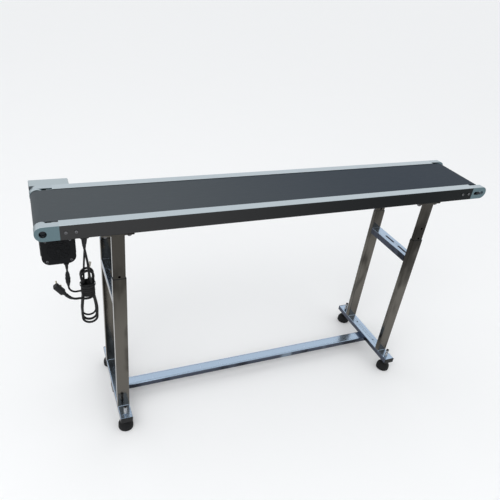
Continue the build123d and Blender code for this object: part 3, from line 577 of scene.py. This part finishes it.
def stretch_of(points, length, steps):
    """Evenly spaced points over the first length of a line."""
    reach = [0.0]
    for before, here in zip(points, points[1:]):
        reach.append(reach[-1] + (here - before).length)
    spaced = []
    for step in range(steps + 1):
        wanted = length * step / steps
        index = max(i for i, value in enumerate(reach[:-1]) if value <= wanted)
        share = (wanted - reach[index]) / max(reach[index + 1] - reach[index], 1e-9)
        spaced.append(points[index].lerp(points[index + 1], share))
    return spaced


# ---- what a user may change
def length_property(name, description, default):
    return FloatProperty(name=name, description=description, default=default, unit="LENGTH")


class ConveyorSizes(bpy.types.PropertyGroup):
    """Sizes of the cords and small fittings."""

    power_diameter: length_property("Power cord diameter", "Outside diameter of the mains cord", 0.0065)
    lead_diameter: length_property("Motor lead diameter", "Outside diameter of the motor's lead", 0.0055)
    weld_radius: length_property("Weld bead radius", "Radius of the beads that join the tubes", 0.0017)
    thread_pitch: length_property("Stud pitch", "Pitch of the thread on the levelling studs", 0.0015)
    edge_softness: length_property("Edge softness", "Width of the broken edges on metal parts", 0.0006)


def colour_property(name, description, default):
    return FloatVectorProperty(name=name, description=description, default=default, subtype="COLOR", size=3,
                               min=0.0, max=1.0)


class ConveyorTones(bpy.types.PropertyGroup):
    """Colours of the finishes, with painted sky reflections for tops and painted shade and reflections for
    sides.
    """

    # Painted sky reflection on the tops of the rails and brackets, and painted shade on the rails' upright
    # faces.
    rail_top: colour_property("Rail top", "Anodised aluminium where it looks up", (0.53, 0.60, 0.64))
    rail_side: colour_property("Rail side", "Anodised aluminium on upright faces", (0.014, 0.016, 0.017))
    # Painted reflection on the rails' upright faces, lighter at the drive end.
    rail_haze: colour_property("Rail haze", "Rails' upright faces at the drive end", (0.050, 0.050, 0.051))
    # Painted shade on the brackets' upright faces.
    bracket_face: colour_property("Bracket face", "Satin face of the end brackets", (0.15, 0.22, 0.245))
    belt: colour_property("Belt", "Belt cover", (0.006, 0.017, 0.032))
    # Dust and painted sheen on the belt towards the drive end.
    belt_dusty: colour_property("Dusty belt", "Belt cover towards the drive end", (0.058, 0.068, 0.075))
    # Painted sky reflection on the tops of bars and tubes, painted shade on their sides, and painted
    # reflection bands in the legs.
    bar_top: colour_property("Bar top", "Polished bars where they look up", (0.44, 0.55, 0.69))
    bar_side: colour_property("Bar side", "Polished bars on their sides", (0.075, 0.085, 0.115))
    tube_side: colour_property("Tube side", "Polished legs on their sides", (0.130, 0.121, 0.106))
    tube_glint: colour_property("Tube glint", "Lighter bands in the polished legs", (0.26, 0.245, 0.22))
    # Painted sky reflection on the guard's top, painted shade on its sides.
    guard_top: colour_property("Guard top", "Guard sheet where it looks up", (0.50, 0.57, 0.60))
    guard_side: colour_property("Guard side", "Guard sheet on its sides", (0.16, 0.17, 0.18))
    black: colour_property("Black", "Enamel, plastic and rubber", (0.006, 0.0065, 0.0075))


class ConveyorStage(bpy.types.PropertyGroup):
    """Light and floor."""

    sky: FloatProperty(name="Sky strength", description="Strength of the even light all round",
                       default=0.95, min=0.0)
    lamp: FloatProperty(name="Lamp power", description="Power of the large soft lamp",
                        default=38.0, unit="POWER", min=0.0)
    floor: colour_property("Floor", "Colour of the plain floor", (0.93, 0.93, 0.93))


class CONVEYOR_OT_stage(bpy.types.Operator):
    """Plain floor, soft light and the camera"""

    bl_idname = "conveyor.stage"
    bl_label = "Stage"

    def execute(self, context):
        stage = context.scene.conveyor_stage
        self.light(context, stage)
        self.floor(context, stage)
        self.camera(context)
        return {"FINISHED"}

    def light(self, context, stage):
        """Even light all round and one large soft lamp."""
        world = bpy.data.worlds.new("soft_sky")
        world.use_nodes = True
        background = world.node_tree.nodes["Background"]
        background.inputs["Color"].default_value = (0.97, 0.985, 1.0, 1.0)
        background.inputs["Strength"].default_value = stage.sky
        context.scene.world = world
        context.scene.view_settings.view_transform = "Standard"
        place, aim = Vector((-1.8, -2.2, 3.2)), Vector((0, 0, 0.6))
        data = bpy.data.lights.new("soft_lamp", "AREA")
        data.shape = "SQUARE"
        data.size = 2.4
        data.energy = stage.lamp
        lamp = bpy.data.objects.new("soft_lamp", data)
        lamp.location = place
        lamp.rotation_mode = "QUATERNION"
        lamp.rotation_quaternion = (aim - place).to_track_quat("-Z", "Y")
        context.scene.collection.objects.link(lamp)

    def floor(self, context, stage):
        """A wide plain floor just under the feet."""
        shader = Shader("plain_floor")
        soft = shader.noise(3, detail=2)
        tone = shader.mixed(soft * 0.15, tuple(stage.floor), shade(stage.floor, 0.96))
        material = shader.finish(base_color=tone, roughness=0.85 + soft * 0.1)
        built = bmesh.new()
        bmesh.ops.create_grid(built, x_segments=1, y_segments=1, size=60.0)
        mesh = bpy.data.meshes.new("floor")
        built.to_mesh(mesh)
        built.free()
        mesh.materials.append(material)
        floor = bpy.data.objects.new("floor", mesh)
        floor.location.z = -0.0005
        context.scene.collection.objects.link(floor)

    def camera(self, context):
        """The camera, above and in front of the drive end, looking down over the belt."""
        data = bpy.data.cameras.new("camera")
        data.sensor_width = 36.0
        data.lens = CAMERA_LENS
        data.shift_x, data.shift_y = CAMERA_SHIFT
        camera = bpy.data.objects.new("camera", data)
        turn = Matrix((CAMERA_RIGHT, -CAMERA_DOWN, -CAMERA_FORWARD)).transposed().to_4x4()
        camera.matrix_world = Matrix.Translation(CAMERA_PLACE) @ turn
        context.scene.collection.objects.link(camera)
        context.scene.camera = camera


class CONVEYOR_OT_cords(bpy.types.Operator):
    """Mains cord and motor lead with their wound hank, strain reliefs and tie"""

    bl_idname = "conveyor.cords"
    bl_label = "Cords and hank"

    def execute(self, context):
        sizes = context.scene.conveyor_sizes
        self.power_cord(sizes.power_diameter)
        self.motor_lead(sizes.lead_diameter)
        self.tie()
        return {"FINISHED"}

    def power_cord(self, diameter):
        """The mains cord: down from the rail, three turns of hank, waist wraps and out to its plug."""
        pitch = 1.01 * diameter
        wound = []
        for index, (half, top, bottom, drift) in enumerate(HANK_TURNS):
            wound += hank_turn(half, top, bottom, HANK_FRONT + pitch * index, pitch, drift)
        route = POWER_DROP + wound[1:] + WRAP_ENTRY + waist_wraps() + POWER_ARM
        cord = cord_curve("power_cord_line", route, diameter / 2)
        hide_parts("power_cord", "cord_hank")
        line = centreline(cord)
        relief_line = stretch_of(line, 0.026, 40)
        cuff_line = stretch_of(line[::-1], 0.020, 36)
        relief = cord_sleeve("power_cord_relief", relief_line, (0.0052, 0.0038), 6, "black_plastic")
        cuff = cord_sleeve("plug_cuff", cuff_line, (0.0049, 0.0037), 5, "black_plastic")

    def motor_lead(self, diameter):
        """The motor's lead: out of its gland, one fold beside the hank and up into the rail."""
        fold = fold_arc(LEAD_FOLD_HALF, LEAD_FOLD_BOTTOM + LEAD_FOLD_HALF, 0, LEAD_FOLD_Y, 0.0)
        before = (HANK_X + LEAD_FOLD_HALF, LEAD_FOLD_Y, 0.497)
        after = (HANK_X - LEAD_FOLD_HALF, LEAD_FOLD_Y - 0.0005, 0.504)
        lead = cord_curve("motor_lead_line", LEAD_ARM + [before] + fold + [after] + LEAD_RISE, diameter / 2)
        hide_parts("motor_lead")
        relief_line = stretch_of(centreline(lead)[::-1], 0.022, 36)
        relief = cord_sleeve("rail_lead_relief", relief_line, (0.0046, 0.0033), 5, "black_plastic")

    def tie(self):
        """A ratchet tie round the top of the wraps, with its head at the back."""
        centre = Vector((*WRAP_CENTRE, WRAP_TOP - 0.004))
        half, corner, height, thickness = 0.0207, 0.0200, 0.0044, 0.0012
        inner = rounded_outline(half, corner, 12)
        outer = rounded_outline(half + thickness, corner + thickness, 12)
        built = bmesh.new()
        levels = []
        for shape, level in ((inner, -1), (outer, -0.8), (outer, 0.8), (inner, 1)):
            z = centre.z + level * height / 2
            levels.append([built.verts.new((centre.x + x, centre.y + y, z)) for x, y in shape])
        count = len(inner)
        for first, second in zip(levels, levels[1:] + levels[:1]):
            for index in range(count):
                after = (index + 1) % count
                built.faces.new((first[index], first[after], second[after], second[index]))
        back = centre.y + half
        head_x, head_half, head_depth, head_rise = centre.x + 0.0065, 0.0035, 0.0046, 0.0034
        add_block(built, (head_x - head_half, back - 0.0002, centre.z - head_rise),
                  (head_x + head_half, back + head_depth, centre.z + head_rise))
        bmesh.ops.recalc_face_normals(built, faces=built.faces)
        self.tail(Vector((head_x, back + 0.0032, centre.z + 0.0030)))
        strap = new_piece("hank_strap", built, "black_plastic", BED, smooth=False)
        soften(strap, 0.0003)
        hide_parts("cord_tie")

    def tail(self, start):
        """The tie's flat free end, standing up out of its head behind the loops."""
        steps, rise, lean, curl = 30, 0.0019, -0.00012, 0.000008
        line = [start + Vector((curl * step * step, lean * step, rise * step)) for step in range(steps)]
        built = bmesh.new()
        steered_rings(built, line, [0.0010] * steps, 12, flatten=3.6)
        new_piece("hank_strap_tail", built, "pale_nylon", BED)


def rounded_outline(half, corner, steps):
    """Points round a square with rounded corners, about the origin."""
    points = []
    for quarter, (sx, sy) in enumerate(((1, 1), (-1, 1), (-1, -1), (1, -1))):
        for step in range(steps + 1):
            angle = math.radians(90 * quarter + 90 * step / steps)
            points.append((sx * (half - corner) + corner * math.cos(angle),
                           sy * (half - corner) + corner * math.sin(angle)))
    return points


class CONVEYOR_OT_finishes(bpy.types.Operator):
    """Finish of every machined and moulded part, with the edges of the rails, brackets, bars and guard
    broken
    """

    bl_idname = "conveyor.finishes"
    bl_label = "Part finishes"

    sharp_slots = ("rail_aluminium", "bracket_aluminium", "stainless_bar", "guard_sheet")

    def execute(self, context):
        softness = context.scene.conveyor_sizes.edge_softness
        for name, part in NODES.items():
            slot = SLOT_OF[name]
            part.data.materials.clear()
            part.data.materials.append(FINISHES[slot])
            if slot in self.sharp_slots:
                weld = part.modifiers.new("joined_corners", "WELD")
                weld.merge_threshold = 0.00001
                soften(part, softness)
        return {"FINISHED"}


class CONVEYOR_OT_welds(bpy.types.Operator):
    """Rippled weld beads on the stand and under the leg plates"""

    bl_idname = "conveyor.welds"
    bl_label = "Weld beads"

    def execute(self, context):
        radius = context.scene.conveyor_sizes.weld_radius
        stand, bed = bmesh.new(), bmesh.new()
        for side in ("left", "right"):
            low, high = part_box("lower_tubes_" + side)
            cross_low, cross_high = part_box("crossbar_" + side)
            upper_low, upper_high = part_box("upper_tubes_" + side)
            inner = cross_high.y
            for sign in (-1, 1):
                for y in (sign * inner, sign * high.y):
                    self.bead(stand, (low.x, y, BASE_TOP), (high.x, y, BASE_TOP), radius)
                for z in (cross_low.z, cross_high.z):
                    self.bead(stand, (low.x, sign * inner, z), (high.x, sign * inner, z), radius)
                inside = upper_high.y - UPPER_TUBE_DEPTH
                for y in (sign * inside, sign * upper_high.y):
                    self.bead(bed, (upper_low.x, y, LEG_PLATE_UNDERSIDE),
                              (upper_high.x, y, LEG_PLATE_UNDERSIDE), radius)
        new_piece("stand_welds", stand, "stainless_tube", STAND)
        new_piece("leg_plate_welds", bed, "stainless_tube", BED)
        return {"FINISHED"}

    def bead(self, built, start, end, radius):
        """One bead with a ripple every four steps, thinner at its ends."""
        start, end = Vector(start), Vector(end)
        inset = (end - start).normalized() * 0.002
        start, end = start + inset, end - inset
        steps = 72
        points = [start.lerp(end, step / steps) for step in range(steps + 1)]
        radii = []
        for step in range(steps + 1):
            fade = min(1.0, 0.4 + step / 6, 0.4 + (steps - step) / 6)
            radii.append(radius * fade * (0.88 + 0.12 * abs(math.cos(HALF_TURN * step / 4))))
        steered_rings(built, points, radii, 10)


class CONVEYOR_OT_stud_threads(bpy.types.Operator):
    """Thread on each levelling stud"""

    bl_idname = "conveyor.stud_threads"
    bl_label = "Stud threads"

    def execute(self, context):
        pitch = context.scene.conveyor_sizes.thread_pitch
        stud_radius, ridge, rubber_top, tip, steps = 0.0050, 0.00042, 0.035, 0.0012, 16
        for name in FOOT_NODES:
            low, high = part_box(name)
            centre = (low + high) / 2
            start, end = low.z + rubber_top, high.z - tip
            count = int((end - start) / pitch) * steps
            points = []
            for step in range(count + 1):
                angle = FULL_TURN * step / steps
                points.append(Vector((centre.x + stud_radius * math.cos(angle),
                                      centre.y + stud_radius * math.sin(angle),
                                      start + pitch * step / steps)))
            built = bmesh.new()
            steered_rings(built, points, [ridge] * len(points), 5)
            new_piece(name + "_thread", built, "zinc_fastener", name)
        return {"FINISHED"}


class CONVEYOR_OT_motor_details(bpy.types.Operator):
    """Cooling fins, end grille, cover screws and a blank rating plate on the motor"""

    bl_idname = "conveyor.motor_details"
    bl_label = "Motor details"

    def execute(self, context):
        self.fins()
        self.grille()
        self.plate()
        return {"FINISHED"}

    def fins(self):
        """Nine ribs along each of the four sides."""
        centre = (MOTOR_LOW + MOTOR_HIGH) / 2
        half = (MOTOR_HIGH.x - MOTOR_LOW.x) / 2
        count, spacing, half_thick, rise, taper = 9, 0.0052, 0.0009, 0.0017, 0.65
        built = bmesh.new()
        for index in range(count):
            shift = (index - count // 2) * spacing
            for turn in range(4):
                made = add_block(built, (shift - half_thick, MOTOR_LOW.y + 0.002, half - 0.001),
                                 (shift + half_thick, MOTOR_HIGH.y - 0.002, half + rise))
                spin = Matrix.Rotation(turn * HALF_TURN / 2, 3, "Y")
                for vertex in made:
                    narrowed = taper if vertex.co.z > half else 1.0
                    vertex.co.x = shift + (vertex.co.x - shift) * narrowed
                    vertex.co = spin @ vertex.co + Vector((centre.x, 0, centre.z))
        fins = new_piece("motor_fins", built, "motor_black", BED, smooth=False)
        soften(fins, 0.0004)

    def grille(self):
        """Ring grille with spokes and a hub on the motor's end, and four cover screws."""
        centre = (COVER_LOW + COVER_HIGH) / 2
        face = COVER_LOW.y
        ring_steps, ring_wire, spoke_wire, spoke_count, screw_inset = 64, 0.0012, 0.0009, 6, 0.0315
        built = bmesh.new()
        for radius in (0.0100, 0.0165, 0.0230, 0.0295):
            points = []
            for step in range(ring_steps):
                angle = FULL_TURN * step / ring_steps
                points.append(Vector((centre.x + radius * math.cos(angle), face + 0.0002,
                                      centre.z + radius * math.sin(angle))))
            steered_rings(built, points, [ring_wire] * ring_steps, 8, closed=True)
        middle = Vector((centre.x, face + 0.0001, centre.z))
        for turn in range(spoke_count):
            angle = HALF_TURN * turn / spoke_count
            reach = Vector((math.cos(angle), 0, math.sin(angle))) * 0.0305
            steered_rings(built, [middle - reach, middle, middle + reach], [spoke_wire] * 3, 8)
        hub = [(-0.001, 0.0062), (0.0010, 0.0062), (0.0016, 0.0052), (0.0018, 0.002)]
        add_turned(built, hub, (centre.x, face, centre.z), (0, -1, 0), 32)
        new_piece("motor_grille", built, "motor_black", BED)
        screws = bmesh.new()
        head = [(-0.003, 0.0033), (0.0008, 0.0033), (0.0013, 0.0028), (0.0013, 0.0017), (-0.0006, 0.0016),
                (-0.0007, 0.0002)]
        for across in (-1, 1):
            for up in (-1, 1):
                place = (centre.x + across * screw_inset, face, centre.z + up * screw_inset)
                add_turned(screws, head, place, (0, -1, 0), 24)
        new_piece("motor_cover_screws", screws, "dark_fastener", BED, smooth=False)

    def plate(self):
        """A blank plate with four rivets on the gearbox's outer side."""
        side = GEARBOX_LOW.x
        half_y, half_z, rivet_y, rivet_z = 0.020, 0.014, 0.0172, 0.0112
        centre_y = GEARBOX_LOW.y + 0.033
        centre_z = (GEARBOX_LOW.z + GEARBOX_HIGH.z) / 2
        built = bmesh.new()
        add_block(built, (side - 0.0006, centre_y - half_y, centre_z - half_z),
                  (side + 0.0002, centre_y + half_y, centre_z + half_z))
        rivet = [(0, 0.0012), (0.0005, 0.0012), (0.0009, 0.0006)]
        for across in (-1, 1):
            for up in (-1, 1):
                place = (side - 0.0005, centre_y + across * rivet_y, centre_z + up * rivet_z)
                add_turned(built, rivet, place, (-1, 0, 0), 16)
        plate = new_piece("blank_rating_plate", built, "bracket_aluminium", BED, smooth=False)
        soften(plate, 0.0002)


class CONVEYOR_OT_control_details(bpy.types.Operator):
    """Dial ticks on the guard, grip ribs on the speed knob"""

    bl_idname = "conveyor.control_details"
    bl_label = "Control details"

    def execute(self, context):
        centre = (KNOB_LOW + KNOB_HIGH) / 2
        self.ticks(centre)
        self.ribs(centre)
        return {"FINISHED"}

    def ticks(self, centre):
        """Eleven ticks over 280 degrees, the first, middle and last longer."""
        built = bmesh.new()
        for index in range(11):
            angle = math.radians(-140 + 28 * index)
            long = 0.0032 if index in (0, 5, 10) else 0.0020
            outward = Vector((math.sin(angle), 0, math.cos(angle)))
            start = Vector((centre.x, GUARD_FACE, centre.z)) + outward * 0.0128
            line = [start, start + outward * long / 2, start + outward * long]
            steered_rings(built, line, [0.0004] * 3, 8)
        new_piece("dial_ticks", built, "black_plastic", BED)

    def ribs(self, centre):
        """Twenty grip ribs round the knob, tapered at both ends."""
        radius = (KNOB_HIGH.x - KNOB_LOW.x) / 2
        count = 20
        built = bmesh.new()
        for index in range(count):
            angle = FULL_TURN * index / count
            x, z = centre.x + radius * math.cos(angle), centre.z + radius * math.sin(angle)
            points = [Vector((x, GUARD_FACE + shift, z)) for shift in (0.0006, 0.0012, 0.0080, 0.0088)]
            steered_rings(built, points, [0.0003, 0.0007, 0.0007, 0.0003], 8)
        new_piece("knob_ribs", built, "black_plastic", "speed_knob")


class CONVEYOR_PT_panel(bpy.types.Panel):
    """Sidebar list of the conveyor's sizes, colours and pieces"""

    bl_idname = "CONVEYOR_PT_panel"
    bl_label = "Belt conveyor"
    bl_space_type = "VIEW_3D"
    bl_region_type = "UI"
    bl_category = "Conveyor"

    def draw(self, context):
        for group in GROUPS:
            settings = getattr(context.scene, group)
            box = self.layout.box()
            for key in settings.__annotations__:
                box.prop(settings, key)
        for operator in OPERATORS:
            self.layout.operator(operator.bl_idname)


OPERATORS = (
    CONVEYOR_OT_stage,
    CONVEYOR_OT_cords,
    CONVEYOR_OT_finishes,
    CONVEYOR_OT_welds,
    CONVEYOR_OT_stud_threads,
    CONVEYOR_OT_motor_details,
    CONVEYOR_OT_control_details,
)
GROUPS = {"conveyor_sizes": ConveyorSizes, "conveyor_tones": ConveyorTones, "conveyor_stage": ConveyorStage}


def register():
    """Adds the property groups, operators and panel."""
    for name, group in GROUPS.items():
        bpy.utils.register_class(group)
        setattr(bpy.types.Scene, name, PointerProperty(type=group))
    for part in (*OPERATORS, CONVEYOR_PT_panel):
        bpy.utils.register_class(part)


def unregister():
    """Takes them away again."""
    for part in (CONVEYOR_PT_panel, *reversed(OPERATORS)):
        bpy.utils.unregister_class(part)
    for name, group in GROUPS.items():
        delattr(bpy.types.Scene, name)
        bpy.utils.unregister_class(group)


def main():
    """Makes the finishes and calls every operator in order."""
    register()
    FINISHES.update(make_finishes(bpy.context.scene.conveyor_tones))
    bpy.ops.conveyor.stage()
    bpy.ops.conveyor.cords()
    bpy.ops.conveyor.finishes()
    bpy.ops.conveyor.welds()
    bpy.ops.conveyor.stud_threads()
    bpy.ops.conveyor.motor_details()
    bpy.ops.conveyor.control_details()


if __name__ == "__main__":
    main()
